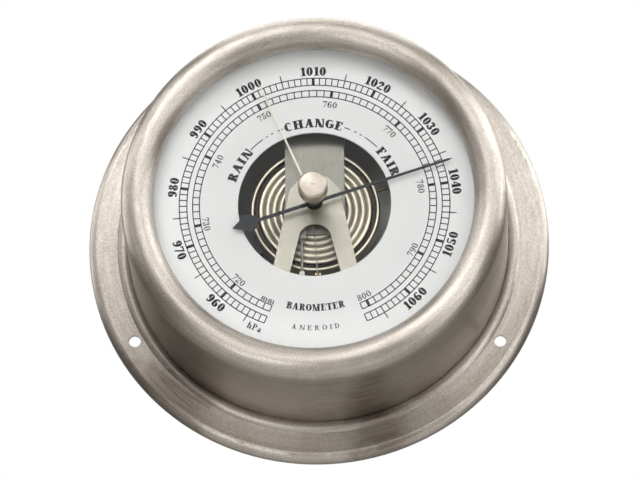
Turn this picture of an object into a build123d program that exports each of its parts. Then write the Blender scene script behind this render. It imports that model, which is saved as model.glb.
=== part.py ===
from build123d import *
import os
from math import cos, hypot, radians, sin, sqrt

# Bulkhead aneroid barometer, in millimetres.
# Origin: centre of the wall plane, on the dial's axis. The dial faces -Y, +Z is 12 o'clock
# and +X is 3 o'clock. "Height" means the distance from the wall plane, towards -Y.

# ---------------------------------------------------------------- driving dimensions
# case
flange_r = 62.5
flange_h = 3.5
wall_r = 51.5
sheet = 0.9
lip_r = 42.75
lip_h = 36.7
nose_h = 37.5
screw_circle_r = 57.0
screw_hole_r = 1.6
screw_turn = 1.25
# glass and dial
glass_low = 34.9
glass_high = 36.4
glass_r = 49.9
dial_low = 32.0
dial_high = 32.6
dial_r = 50.3
opening_r = 20.5
# movement
base_low = 12.0
base_high = 13.5
base_r = 38.0
capsule_r = 17.4
seam_h = 25.2
spring_low = 28.2
spring_t = 0.6
spring_half_width = 7.95
bridge_low = 31.0
bridge_high = 31.8
cock_low = 29.4
cock_high = 29.75
# pointer train
pointer_angle = 72.4
set_angle = -23.0
drum_pitch_r = 0.8
pull_arm_length = 13.0
crank_length = 1.5
rocker_z = -20.35
rocker_h = 17.14
rocker_tilt = pointer_angle * drum_pitch_r / pull_arm_length
# fits
turning_gap = 0.03
press_gap = 0.01

# ---------------------------------------------------------------- places
wall_bore = wall_r - sheet
corner_places = [(sx * 23.3, sz * 23.3) for sx in (-1, 1) for sz in (-1, 1)]
spring_screw_places = [(-5.0, 16.0), (5.0, 16.0)]
bracket_screw_places = [(-5.5, -22.6), (3.5, -22.6)]
bridge_places = [(-11.2, -25.2), (11.2, -25.2)]
cock_places = [(-4.8, 2.3), (4.8, 2.3)]
adjuster_place = (0.0, 22.0)


def front(height):
    """Plane parallel to the dial at a height; local x is +X, local y is +Z, out is towards -Y."""
    return Plane(origin=(0, -height, 0), x_dir=(1, 0, 0), z_dir=(0, -1, 0))


def turned_front(height, clockwise):
    """A front plane whose local y points at an angle, in degrees clockwise from 12 o'clock."""
    angle = radians(clockwise)
    return Plane(origin=(0, -height, 0), x_dir=(cos(angle), 0, -sin(angle)), z_dir=(0, -1, 0))


def profile_at(x, z):
    """Plane for (radius, height) profiles that are turned about an upright axis through (x, z)."""
    return Plane(origin=(x, 0, z), x_dir=(1, 0, 0), z_dir=(0, 0, -1))


def side_at(x):
    """Plane for (z, height) outlines that are drawn out along X."""
    return Plane(origin=(x, 0, 0), x_dir=(0, 0, 1), z_dir=(1, 0, 0))


def rocker_plane(x):
    """Plane on the rocking shaft's axis at x; local x runs along the crank, local y up the pull arm."""
    tilt = radians(rocker_tilt)
    return Plane(origin=(x, -rocker_h, rocker_z), x_dir=(0, sin(tilt), cos(tilt)), z_dir=(1, 0, 0))


def quarter(centre, radius, start, end):
    """Quarter arc about a centre, between two of the four compass directions."""
    half_way = [(a + b) / sqrt(2) for a, b in zip(start, end)]
    ThreePointArc(
        *[(centre[0] + radius * way[0], centre[1] + radius * way[1]) for way in (start, half_way, end)]
    )


def column(radius, low, high, places=((0, 0),), mode=Mode.ADD):
    """Round column, or hole, between two heights at each place."""
    with BuildSketch(front(low)) as circle:
        with Locations(*places):
            Circle(radius)
    extrude(circle.sketch, amount=high - low, mode=mode)


def ring(inner, outer, low, high):
    """Plain ring about the dial's axis."""
    column(outer, low, high)
    column(inner, low, high, mode=Mode.SUBTRACT)


def slot(width, length, low, high, places):
    """Screwdriver slot at each place."""
    with BuildSketch(front(low)) as mark:
        with Locations(*places):
            Rectangle(length, width)
    extrude(mark.sketch, amount=high - low, mode=Mode.SUBTRACT)


def flush_screws(places, face, inward, head_r, shank_r, length, mode=Mode.ADD):
    """Countersunk screws, or their holes: the head lies in the face and the shank runs inward, +1 or -1."""
    for x, z in places:
        with BuildSketch(profile_at(x, z)) as outline:
            with BuildLine():
                Polyline(
                    (0, face),
                    (head_r, face),
                    (shank_r, face + inward * (head_r - shank_r)),
                    (shank_r, face + inward * length),
                    (0, face + inward * length),
                    close=True,
                )
            make_face()
        revolve(outline.sketch, axis=Axis((x, 0, z), (0, 1, 0)), mode=mode)


def pan_screws(places, seat, head_r, head_t, shank_r, shank_end):
    """Slotted pan-head screws; the head stands off the seat on the side away from the shank's end."""
    outward = 1 if shank_end < seat else -1
    top = seat + outward * head_t
    floor = top - outward * head_t * 0.45
    column(head_r, min(seat, top), max(seat, top), places)
    column(shank_r, min(seat, shank_end), max(seat, shank_end), places)
    slot(head_r * 0.32, 2 * head_r, min(floor, top), max(floor, top), places)


os.makedirs("parts", exist_ok=True)

# ---------------------------------------------------------------- case
nose_r = (wall_r - lip_r) / 2
nose_c = wall_r - nose_r
rim_roll = 2.3
shoulder_r = flange_r - rim_roll
foot_bead_r = wall_r + 3.2
foot_bead_rise = 0.75
field_dip = 0.2
with BuildPart() as case_shell:
    with BuildSketch(profile_at(0, 0)):
        with BuildLine():
            # outside, from the rim's foot up to the lip
            Line((flange_r, 0), (flange_r, flange_h - rim_roll))
            quarter((shoulder_r, flange_h - rim_roll), rim_roll, (1, 0), (0, 1))
            ThreePointArc(
                (shoulder_r, flange_h),
                ((shoulder_r + foot_bead_r) / 2, flange_h - field_dip),
                (foot_bead_r, flange_h - field_dip / 2),
            )
            ThreePointArc(
                (foot_bead_r, flange_h - field_dip / 2),
                ((wall_r + foot_bead_r) / 2, flange_h + foot_bead_rise),
                (wall_r, flange_h),
            )
            Line((wall_r, flange_h), (wall_r, nose_h))
            ThreePointArc((wall_r, nose_h), (nose_c, nose_h + nose_r), (lip_r, nose_h))
            Line((lip_r, nose_h), (lip_r, lip_h))
            # inside, back down to the rim
            Line((lip_r, lip_h), (lip_r + sheet, lip_h))
            Line((lip_r + sheet, lip_h), (lip_r + sheet, nose_h))
            ThreePointArc(
                (lip_r + sheet, nose_h), (nose_c, nose_h + nose_r - sheet), (wall_bore, nose_h)
            )
            Line((wall_bore, nose_h), (wall_bore, flange_h - sheet))
            Line((wall_bore, flange_h - sheet), (shoulder_r, flange_h - sheet))
            quarter((shoulder_r, flange_h - rim_roll), rim_roll - sheet, (0, 1), (1, 0))
            Line((flange_r - sheet, flange_h - rim_roll), (flange_r - sheet, 0))
            Line((flange_r - sheet, 0), (flange_r, 0))
        make_face()
    revolve(axis=Axis.Y)
    # three screw holes, turned a little clockwise from 12, 4 and 8 o'clock
    with BuildSketch(front(0)):
        with PolarLocations(screw_circle_r, 3, start_angle=90 - screw_turn):
            Circle(screw_hole_r)
    extrude(amount=flange_h + 2, mode=Mode.SUBTRACT)
case_shell.part.label = "case_shell"

# flat cover that closes the back; its face is the wall plane
cover_r = wall_bore - 0.05
cover_t = 1.2
cover_skirt_h = 5.0
cover_screw_head_r = 2.25
adjuster_access_r = 3.5
tap_r = 1.25
with BuildPart() as back_cover:
    column(cover_r, 0, cover_t)
    ring(cover_r - 1, cover_r, cover_t, cover_skirt_h)
    flush_screws(corner_places, 0, 1, cover_screw_head_r + 0.1, tap_r + 0.1, cover_t, Mode.SUBTRACT)
    column(adjuster_access_r, 0, cover_t, [adjuster_place], Mode.SUBTRACT)
    # breather holes, so that the air inside follows the weather
    column(1.0, 0, cover_t, [(-5, -12), (0, -12), (5, -12)], Mode.SUBTRACT)
back_cover.part.label = "back_cover"

with BuildPart() as dial_sleeve:
    ring(wall_bore - 1.5, wall_bore - 0.2, cover_skirt_h, dial_low)
dial_sleeve.part.label = "dial_sleeve"

with BuildPart() as dial:
    ring(opening_r, dial_r, dial_low, dial_high)
dial.part.label = "dial"

with BuildPart() as glass_spacer_ring:
    ring(45.5, dial_r, dial_high, glass_low)
glass_spacer_ring.part.label = "glass_spacer_ring"

glass_hole_r = 1.75
with BuildPart() as glass:
    ring(glass_hole_r, glass_r, glass_low, glass_high)
glass.part.label = "glass"

with BuildPart() as glass_gasket:
    ring(lip_r + 0.1, glass_r, glass_high, lip_h)
glass_gasket.part.label = "glass_gasket"

# ---------------------------------------------------------------- base of the movement
bush_r = 3.2
post_tail_r = 1.5
small_tap_r = 1.02
with BuildPart() as base_plate:
    column(base_r, base_low, base_high)
    column(tap_r + 0.1, base_low, base_high, corner_places, Mode.SUBTRACT)
    column(post_tail_r + 0.1, base_low, base_high, mode=Mode.SUBTRACT)
    column(bush_r, base_low, base_high, [adjuster_place], Mode.SUBTRACT)
    for hole_places in (spring_screw_places, bracket_screw_places, bridge_places):
        column(small_tap_r, base_low, base_high, hole_places, Mode.SUBTRACT)
base_plate.part.label = "base_plate"

tap_depth = 3.6
screw_depth = tap_depth - 0.3
with BuildPart() as base_pillars:
    column(3.0, cover_t, base_low, corner_places)
    column(tap_r, cover_t, cover_t + tap_depth, corner_places, Mode.SUBTRACT)
    column(tap_r, base_low - tap_depth, base_low, corner_places, Mode.SUBTRACT)
base_pillars.part.label = "base_pillars"

with BuildPart() as cover_screws:
    flush_screws(corner_places, 0.05, 1, cover_screw_head_r, tap_r - press_gap, cover_t + screw_depth)
    slot(0.7, 2 * cover_screw_head_r, 0, 0.55, corner_places)
cover_screws.part.label = "cover_screws"

with BuildPart() as base_screws:
    pan_screws(corner_places, base_high, 2.2, 1.3, tap_r - press_gap, base_low - screw_depth)
base_screws.part.label = "base_screws"

with BuildPart() as rim_stop_block:
    with BuildSketch(front(base_high)):
        with Locations((-16.05, -10.4)):
            Rectangle(2.6, 3.2, rotation=33)
    extrude(amount=13)
rim_stop_block.part.label = "rim_stop_block"

# ---------------------------------------------------------------- vacuum capsule
ring_top = seam_h + 2.7
wave_h = seam_h + 2.1
ridge_pitch = 1.8
ridge_half = 0.65
ridge_rise = 0.35
ridge_radii = [14.6 - ridge_pitch * i for i in range(5)]
under = 0.45
with BuildPart() as capsule_front:
    with BuildSketch(profile_at(0, 0)):
        with BuildLine():
            # rim: soldered seam, outer ring and the deep groove inside it
            Line((capsule_r - 0.9, seam_h), (capsule_r, seam_h))
            Line((capsule_r, seam_h), (capsule_r, ring_top - 0.5))
            ThreePointArc(
                (capsule_r, ring_top - 0.5), (capsule_r - 0.5, ring_top), (capsule_r - 1.1, ring_top - 0.3)
            )
            Polyline(
                (capsule_r - 1.1, ring_top - 0.3),
                (capsule_r - 1.3, seam_h + 1.0),
                (ridge_radii[0] + ridge_half + 0.25, seam_h + 1.0),
                (ridge_radii[0] + ridge_half, wave_h),
            )
            # front face: wide ridges parted by narrow grooves
            for radius in ridge_radii:
                ThreePointArc(
                    (radius + ridge_half, wave_h),
                    (radius, wave_h + ridge_rise),
                    (radius - ridge_half, wave_h),
                )
                ThreePointArc(
                    (radius - ridge_half, wave_h),
                    (radius - ridge_pitch / 2, wave_h - 0.2),
                    (radius - ridge_pitch + ridge_half, wave_h),
                )
            last_r = ridge_radii[-1] - ridge_pitch + ridge_half
            Polyline((last_r, wave_h), (0, wave_h), (0, wave_h - under), (last_r, wave_h - under))
            # back of the sheet
            for radius in reversed(ridge_radii):
                Line(
                    (radius - ridge_pitch + ridge_half, wave_h - under), (radius - ridge_half, wave_h - under)
                )
                ThreePointArc(
                    (radius - ridge_half, wave_h - under),
                    (radius, wave_h + ridge_rise - under),
                    (radius + ridge_half, wave_h - under),
                )
            Polyline(
                (ridge_radii[0] + ridge_half, wave_h - under),
                (ridge_radii[0] + ridge_half, seam_h + 0.6),
                (capsule_r - 0.9, seam_h + 0.6),
                (capsule_r - 0.9, seam_h),
            )
        make_face()
    revolve(axis=Axis.Y)
capsule_front.part.label = "capsule_front"

with BuildPart() as capsule_back:
    mirror(capsule_front.part, about=front(seam_h))
capsule_back.part.label = "capsule_back"

stud_spigot_r = 1.0
stud_head_low = spring_low + spring_t + 0.05
with BuildPart() as capsule_stud:
    column(2.0, wave_h, spring_low - 0.05)
    column(stud_spigot_r, wave_h, stud_head_low)
    column(1.8, stud_head_low, stud_head_low + 0.25)
capsule_stud.part.label = "capsule_stud"

capsule_back_h = 2 * seam_h - wave_h
nut_low = base_low - 2.4
with BuildPart() as capsule_post:
    column(2.5, base_high, capsule_back_h)
    column(post_tail_r, nut_low - 0.5, base_high)
capsule_post.part.label = "capsule_post"

with BuildPart() as capsule_nut:
    with BuildSketch(front(nut_low)):
        RegularPolygon(3.2, 6)
        Circle(post_tail_r + press_gap, mode=Mode.SUBTRACT)
    extrude(amount=base_low - nut_low)
capsule_nut.part.label = "capsule_nut"

seal_angle = radians(19.8)
seal_out = (cos(seal_angle), 0, sin(seal_angle))
seal_start = capsule_r + 0.02
with BuildPart() as seal_tube:
    seal_origin = (seal_start * seal_out[0], -seam_h, seal_start * seal_out[2])
    with BuildSketch(Plane(origin=seal_origin, z_dir=seal_out)):
        Circle(0.45)
    extrude(amount=3.4)
seal_tube.part.label = "seal_tube"

# ---------------------------------------------------------------- main spring and its lever
spring_top = spring_low + spring_t
spring_end_z = -7.25
bow_z = 17.2
bow_r = 8.85
flex_gap = 0.12
foot_low = base_high + flex_gap
foot_top = foot_low + spring_t
bow_h = spring_top - bow_r
heel_r = 2.0
heel_z = bow_z + bow_r - spring_t - heel_r
heel_h = foot_top + heel_r
foot_end_z = 12.0


with BuildPart() as main_spring:
    with BuildSketch(side_at(0)):
        with BuildLine():
            Line((spring_end_z, spring_low), (bow_z, spring_low))
            quarter((bow_z, bow_h), bow_r - spring_t, (0, 1), (1, 0))
            Line((heel_z + heel_r, bow_h), (heel_z + heel_r, heel_h))
            quarter((heel_z, heel_h), heel_r, (1, 0), (0, -1))
            Polyline(
                (heel_z, foot_top), (foot_end_z, foot_top), (foot_end_z, foot_low), (heel_z, foot_low)
            )
            quarter((heel_z, heel_h), heel_r + spring_t, (0, -1), (1, 0))
            Line((bow_z + bow_r, heel_h), (bow_z + bow_r, bow_h))
            quarter((bow_z, bow_h), bow_r, (1, 0), (0, 1))
            Polyline((bow_z, spring_top), (spring_end_z, spring_top), (spring_end_z, spring_low))
        make_face()
    extrude(amount=spring_half_width, both=True)
    column(stud_spigot_r + 0.2, spring_low, spring_top, mode=Mode.SUBTRACT)
    column(1.2, foot_low, foot_top, spring_screw_places, Mode.SUBTRACT)
main_spring.part.label = "main_spring"

clamp_low = foot_top + flex_gap / 2
clamp_high = clamp_low + 1.0
with BuildPart() as spring_clamp:
    with BuildSketch(front(clamp_low)):
        with Locations((0, 16)):
            RectangleRounded(15.0, 5.0, 1.0)
        with Locations(*spring_screw_places):
            Circle(1.1, mode=Mode.SUBTRACT)
    extrude(amount=clamp_high - clamp_low)
spring_clamp.part.label = "spring_clamp"

with BuildPart() as spring_screws:
    pan_screws(spring_screw_places, clamp_high, 1.9, 1.1, small_tap_r - 2 * press_gap, base_low - 0.4)
spring_screws.part.label = "spring_screws"

rod_x = -3.6
rod_h = 29.4
rod_r = 0.35
block_low_z = -8.7
block_high_z = -5.9
link_z = rocker_z + crank_length * cos(radians(rocker_tilt))
link_h = rocker_h - crank_length * sin(radians(rocker_tilt))
link_r = 0.25
tip_half = 0.65
with BuildPart() as lever_block:
    with BuildSketch(front(spring_top)):
        with Locations((rod_x, (block_low_z + block_high_z) / 2)):
            Rectangle(2.4, block_high_z - block_low_z)
    extrude(amount=1.2)
    with BuildSketch(Plane(origin=(rod_x, -rod_h, block_low_z), z_dir=(0, 0, 1))):
        Circle(rod_r + press_gap)
    extrude(amount=2.0, mode=Mode.SUBTRACT)
lever_block.part.label = "lever_block"

tip_front_z = link_z + tip_half
with BuildPart() as lever_rod:
    with BuildSketch(Plane(origin=(rod_x, -rod_h, tip_front_z - 0.3), z_dir=(0, 0, 1))):
        Circle(rod_r)
    extrude(amount=block_low_z + 1.9 - tip_front_z + 0.3)
lever_rod.part.label = "lever_rod"

with BuildPart() as rod_tip_block:
    with BuildSketch(front(rod_h - tip_half)):
        with Locations((rod_x, link_z)):
            Rectangle(2 * tip_half, 2 * tip_half)
            Circle(link_r + press_gap, mode=Mode.SUBTRACT)
    extrude(amount=2 * tip_half)
    with BuildSketch(Plane(origin=(rod_x, -rod_h, tip_front_z - 0.31), z_dir=(0, 0, 1))):
        Circle(rod_r + press_gap)
    extrude(amount=0.31, mode=Mode.SUBTRACT)
rod_tip_block.part.label = "rod_tip_block"

with BuildPart() as link_wire:
    column(link_r, link_h, rod_h + tip_half, [(rod_x, link_z)])
    with BuildSketch(Plane(origin=(rod_x - link_r, -link_h, link_z), z_dir=(1, 0, 0))):
        Circle(link_r)
    extrude(amount=1.6)
link_wire.part.label = "link_wire"

# ---------------------------------------------------------------- rocking shaft
ear_gap_low = -8.0
ear_gap_high = 6.0
ear_t = 1.0
pivot_r = 0.4
with BuildPart() as rocker_bracket:
    with BuildSketch(front(base_high)):
        with Locations(((ear_gap_low + ear_gap_high) / 2, rocker_z - 0.9)):
            Rectangle(ear_gap_high - ear_gap_low + 2 * ear_t, 5.4)
        with Locations(*bracket_screw_places):
            Circle(small_tap_r + 0.08, mode=Mode.SUBTRACT)
    extrude(amount=1.0)
    for ear_x in (ear_gap_low - ear_t, ear_gap_high):
        with BuildSketch(side_at(ear_x)):
            with BuildLine():
                Line((rocker_z - 1.8, base_high), (rocker_z - 1.8, rocker_h))
                ThreePointArc(
                    (rocker_z - 1.8, rocker_h), (rocker_z, rocker_h + 1.8), (rocker_z + 1.8, rocker_h)
                )
                Polyline(
                    (rocker_z + 1.8, rocker_h), (rocker_z + 1.8, base_high), (rocker_z - 1.8, base_high)
                )
            make_face()
            with Locations((rocker_z, rocker_h)):
                Circle(pivot_r + turning_gap, mode=Mode.SUBTRACT)
        extrude(amount=ear_t)
rocker_bracket.part.label = "rocker_bracket"

with BuildPart() as bracket_screws:
    pan_screws(bracket_screw_places, base_high + 1, 1.7, 1.0, small_tap_r - 2 * press_gap, base_low - 0.4)
bracket_screws.part.label = "bracket_screws"

shaft_r = 0.6
with BuildPart() as rocker_shaft:
    with BuildSketch(rocker_plane(ear_gap_low + 0.05)):
        Circle(shaft_r)
    extrude(amount=ear_gap_high - ear_gap_low - 0.1)
    with BuildSketch(rocker_plane(ear_gap_low - ear_t)):
        Circle(pivot_r)
    extrude(amount=ear_gap_high - ear_gap_low + 2 * ear_t)
rocker_shaft.part.label = "rocker_shaft"

with BuildPart() as crank_arm:
    with BuildSketch(rocker_plane(rod_x + 0.35)):
        Circle(1.5)
        with Locations((crank_length, 0)):
            Circle(0.8)
            Circle(link_r + 0.1, mode=Mode.SUBTRACT)
        Circle(shaft_r + press_gap, mode=Mode.SUBTRACT)
    extrude(amount=0.6)
crank_arm.part.label = "crank_arm"

arm_x = 0.6
arm_half = 0.25
chain_r = 0.15
# the chain runs at a slant, so it drifts sideways in its notch as it is drawn in and let out
notch_x = arm_x + 0.075
notch_width = 0.7
with BuildPart() as pull_arm:
    with BuildSketch(rocker_plane(arm_x - 0.6)):
        Circle(1.5)
        Circle(shaft_r + press_gap, mode=Mode.SUBTRACT)
    extrude(amount=1.2)
    with BuildSketch(rocker_plane(notch_x - notch_width / 2 - 0.4)):
        with Locations((0, 1)):
            Rectangle(2 * arm_half, pull_arm_length - 0.4, align=(Align.CENTER, Align.MIN))
    extrude(amount=notch_width + 0.8)
    # notch that holds the end of the chain
    with BuildSketch(rocker_plane(notch_x - notch_width / 2)):
        with Locations((0, pull_arm_length - 0.7)):
            Rectangle(2 * arm_half + 0.1, 2, align=(Align.CENTER, Align.MIN))
    extrude(amount=notch_width, mode=Mode.SUBTRACT)
pull_arm.part.label = "pull_arm"

chain_h = rocker_h + pull_arm_length * cos(radians(rocker_tilt))
chain_low_z = rocker_z + pull_arm_length * sin(radians(rocker_tilt))
chain_run = hypot(arm_x + drum_pitch_r, chain_low_z)
chain_out = (-(arm_x + drum_pitch_r) / chain_run, 0, -chain_low_z / chain_run)
chain_bead_r = 0.5
bead_back = 2 * arm_half + chain_bead_r
with BuildPart() as drive_chain:
    bead_centre = (arm_x - bead_back * chain_out[0], -chain_h, chain_low_z - bead_back * chain_out[2])
    with BuildSketch(Plane(origin=bead_centre, z_dir=chain_out)):
        Circle(chain_r)
    extrude(amount=chain_run + bead_back)
    with Locations(bead_centre):
        Sphere(chain_bead_r)
drive_chain.part.label = "drive_chain"

# ---------------------------------------------------------------- bridge plate and arbor bearings
arbor_r = 0.5
arbor_pivot_r = 0.3
bridge_bush_r = 1.3
bridge_head_r = 1.4
bridge_t = bridge_high - bridge_low
with BuildPart() as arbor_bridge:
    with BuildSketch(front(bridge_low)):
        with BuildLine():
            Polyline(
                (-8.9, -27.6), (-13.3, -27.6), (-6.65, 4.4), (-3.6, 8.0),
                (3.6, 8.0), (6.65, 4.4), (13.3, -27.6), (8.9, -27.6), (4.07, -7.9),
            )
            ThreePointArc((4.07, -7.9), (0, -5.4), (-4.07, -7.9))
            Line((-4.07, -7.9), (-8.9, -27.6))
        make_face()
        Circle(bridge_bush_r, mode=Mode.SUBTRACT)
    extrude(amount=bridge_t)
    flush_screws(bridge_places, bridge_high, -1, bridge_head_r + 0.1, 0.85, bridge_t, Mode.SUBTRACT)
    column(0.52, bridge_low, bridge_low + 0.55, cock_places, Mode.SUBTRACT)
arbor_bridge.part.label = "arbor_bridge"

with BuildPart() as bridge_pillars:
    column(2.0, base_high, bridge_low, bridge_places)
    column(0.82, bridge_low - 4, bridge_low, bridge_places, Mode.SUBTRACT)
    column(small_tap_r, base_high, base_high + 4, bridge_places, Mode.SUBTRACT)
bridge_pillars.part.label = "bridge_pillars"

with BuildPart() as bridge_screws:
    flush_screws(bridge_places, bridge_high - 0.05, -1, bridge_head_r, 0.8, bridge_t + 3.5)
    slot(0.4, 2 * bridge_head_r, bridge_high - 0.35, bridge_high, bridge_places)
bridge_screws.part.label = "bridge_screws"

with BuildPart() as pillar_screws:
    pan_screws(bridge_places, base_low, 1.9, 1.1, small_tap_r - 2 * press_gap, base_high + 3.7)
pillar_screws.part.label = "pillar_screws"

with BuildPart() as bridge_bush:
    column(bridge_bush_r - press_gap, bridge_low, bridge_high)
    column(1.7, bridge_high, bridge_high + 0.4)
    column(arbor_r + turning_gap, bridge_low, bridge_high + 0.4, mode=Mode.SUBTRACT)
bridge_bush.part.label = "bridge_bush"

with BuildPart() as arbor_cock:
    with BuildSketch(front(cock_low)):
        with Locations((0, 1.0)):
            RectangleRounded(11.8, 5.0, 1.4)
        Circle(arbor_pivot_r + turning_gap, mode=Mode.SUBTRACT)
        with Locations(*cock_places):
            Circle(0.52, mode=Mode.SUBTRACT)
    extrude(amount=cock_high - cock_low)
arbor_cock.part.label = "arbor_cock"

with BuildPart() as cock_spacers:
    column(0.95, cock_high, bridge_low, cock_places)
    column(0.52, cock_high, bridge_low, cock_places, Mode.SUBTRACT)
cock_spacers.part.label = "cock_spacers"

with BuildPart() as cock_screws:
    column(0.9, cock_low - 0.3, cock_low, cock_places)
    column(0.51, cock_low, bridge_low + 0.5, cock_places)
    slot(0.25, 1.8, cock_low - 0.3, cock_low - 0.15, cock_places)
cock_screws.part.label = "cock_screws"

# ---------------------------------------------------------------- pointer arbor
pointer_low = 33.7
pointer_high = 34.05
collet_top = 34.15
with BuildPart() as pointer_arbor:
    column(arbor_pivot_r, cock_low + 0.03, cock_high + 0.02)
    column(arbor_r, cock_high + 0.02, collet_top)
pointer_arbor.part.label = "pointer_arbor"

drum_low = cock_high + 0.05
drum_groove_half = 0.18
drum_high = 30.4
with BuildPart() as chain_drum:
    column(1.3, drum_low, chain_h - drum_groove_half)
    column(drum_pitch_r - chain_r - turning_gap, drum_low, drum_high)
    column(1.3, chain_h + drum_groove_half, drum_high)
    column(arbor_r + press_gap, drum_low, drum_high, mode=Mode.SUBTRACT)
chain_drum.part.label = "chain_drum"

hair_low = 30.45
hair_tall = 0.4
hair_collet_r = 1.1
with BuildPart() as hairspring_collet:
    ring(arbor_r + press_gap, hair_collet_r, drum_high + 0.02, hair_low + hair_tall + 0.05)
hairspring_collet.part.label = "hairspring_collet"

# the hairspring is a run of half circles about two centres, each wider than the one before
hair_half_t = 0.05
hair_step = 0.225
hair_halves = 12
hair_first_r = hair_collet_r + 2 * hair_half_t


def half_coil(index, shift):
    """One half turn of the hairspring's inner (-) or outer (+) face, from inside to outside."""
    centre = hair_step * (index % 2)
    radius = hair_first_r + hair_step * index + shift
    turn = 1 if index % 2 == 0 else -1
    return (centre + turn * radius, 0), (centre, turn * radius), (centre - turn * radius, 0)


with BuildPart() as hairspring:
    with BuildSketch(front(hair_low)):
        with BuildLine():
            for index in range(hair_halves):
                ThreePointArc(*half_coil(index, hair_half_t))
            Line(half_coil(hair_halves - 1, hair_half_t)[2], half_coil(hair_halves - 1, -hair_half_t)[2])
            for index in reversed(range(hair_halves)):
                ThreePointArc(*reversed(half_coil(index, -hair_half_t)))
            Line(half_coil(0, -hair_half_t)[0], half_coil(0, hair_half_t)[0])
        make_face()
    extrude(amount=hair_tall)
hairspring.part.label = "hairspring"

hair_end_x = half_coil(hair_halves - 1, 0)[2][0]
with BuildPart() as hairspring_stud:
    with BuildSketch(front(hair_low)):
        with Locations((hair_end_x, 0.01)):
            Rectangle(0.9, 0.9, align=(Align.CENTER, Align.MIN))
    extrude(amount=bridge_low - hair_low)
hairspring_stud.part.label = "hairspring_stud"

# ---------------------------------------------------------------- pressure pointer
pointer_r = 38.8
tail_disc_r = 18.5
tail_r = 23.0
with BuildPart() as pressure_pointer:
    with BuildSketch(turned_front(pointer_low, pointer_angle)):
        with BuildLine():
            Polyline(
                (-0.5, 0), (-0.26, pointer_r - 1.2), (0, pointer_r), (0.26, pointer_r - 1.2), (0.5, 0),
                (0.45, -tail_disc_r), (-0.45, -tail_disc_r), close=True,
            )
        make_face()
        Circle(2.2)
        with Locations((0, -tail_disc_r)):
            Circle(2.5)
        with BuildLine():
            Polyline(
                (-1.7, -tail_disc_r - 1.5), (0, -tail_r), (1.7, -tail_disc_r - 1.5), close=True
            )
        make_face()
        Circle(1.2 + press_gap, mode=Mode.SUBTRACT)
    extrude(amount=pointer_high - pointer_low)
pressure_pointer.part.label = "pressure_pointer"

with BuildPart() as pointer_collet:
    ring(arbor_r + press_gap, 1.2, pointer_low - 0.4, collet_top)
pointer_collet.part.label = "pointer_collet"

# ---------------------------------------------------------------- set hand and knob
hand_low = 34.3
hand_high = 34.55
hand_r = 37.0
set_shaft_r = 0.75
rivet_r = 0.5
bush_low = 34.6
bush_collar_h = glass_high + 0.5
bush_collar_r = 2.3
with BuildPart() as set_hand:
    with BuildSketch(turned_front(hand_low, set_angle)):
        with BuildLine():
            Polyline(
                (-0.32, 0), (-0.2, hand_r - 1), (0, hand_r), (0.2, hand_r - 1), (0.32, 0), close=True
            )
        make_face()
        Circle(1.9)
        Circle(rivet_r + press_gap, mode=Mode.SUBTRACT)
    extrude(amount=hand_high - hand_low)
set_hand.part.label = "set_hand"

knob_low = 37.2
knob_head_low = 43.0
knob_edge_h = 47.6
knob_rise = 0.25
knob_r = 3.95
shaft_top = knob_head_low + 0.8
with BuildPart() as set_shaft:
    column(rivet_r, hand_low - 0.05, hand_high)
    column(set_shaft_r, hand_high, shaft_top)
set_shaft.part.label = "set_shaft"

with BuildPart() as glass_bush:
    column(glass_hole_r - 0.05, bush_low, glass_high)
    column(bush_collar_r, glass_high, bush_collar_h)
    column(set_shaft_r + turning_gap, bush_low, bush_collar_h, mode=Mode.SUBTRACT)
glass_bush.part.label = "glass_bush"

with BuildPart() as bush_nut:
    ring(glass_hole_r - 0.04, bush_collar_r, bush_low, glass_low)
bush_nut.part.label = "bush_nut"

with BuildPart() as knob_washer:
    ring(set_shaft_r + turning_gap, 2.0, bush_collar_h + 0.02, knob_low - 0.02)
knob_washer.part.label = "knob_washer"

knob_neck_r = 1.6
knob_foot_chamfer = 0.3
knob_edge_roll = 0.9
crown_half = knob_r - knob_edge_roll
crown_r = (crown_half**2 + knob_rise**2) / (2 * knob_rise)
crown_mid_h = knob_edge_h + knob_rise - crown_r + sqrt(crown_r**2 - (crown_half / 2) ** 2)
with BuildPart() as set_knob:
    with BuildSketch(profile_at(0, 0)):
        with BuildLine():
            Polyline(
                (0, knob_edge_h + knob_rise), (0, knob_low), (knob_neck_r, knob_low),
                (knob_neck_r, knob_head_low), (knob_r - knob_foot_chamfer, knob_head_low),
                (knob_r, knob_head_low + knob_foot_chamfer), (knob_r, knob_edge_h - knob_edge_roll),
            )
            quarter((crown_half, knob_edge_h - knob_edge_roll), knob_edge_roll, (1, 0), (0, 1))
            # barely domed crown, part of a sphere centred on the axis
            ThreePointArc(
                (crown_half, knob_edge_h), (crown_half / 2, crown_mid_h), (0, knob_edge_h + knob_rise)
            )
        make_face()
    revolve(axis=Axis.Y)
    column(set_shaft_r + press_gap, knob_low, shaft_top + 0.05, mode=Mode.SUBTRACT)
set_knob.part.label = "set_knob"

# ---------------------------------------------------------------- calibration screw
adjuster_r = 1.5
adjuster_head_low = 2.4
adjuster_head_t = 1.6
with BuildPart() as adjusting_bush:
    column(bush_r - press_gap, base_low, base_high, [adjuster_place])
    column(bush_r + 0.8, base_low - 2.5, base_low, [adjuster_place])
    column(adjuster_r + turning_gap, base_low - 2.5, base_high, [adjuster_place], Mode.SUBTRACT)
adjusting_bush.part.label = "adjusting_bush"

with BuildPart() as adjusting_screw:
    column(2.4, adjuster_head_low, adjuster_head_low + adjuster_head_t, [adjuster_place])
    column(adjuster_r, adjuster_head_low, base_high, [adjuster_place])
    slot(0.8, 4.8, adjuster_head_low, adjuster_head_low + 0.8, [adjuster_place])
adjusting_screw.part.label = "adjusting_screw"

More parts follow.
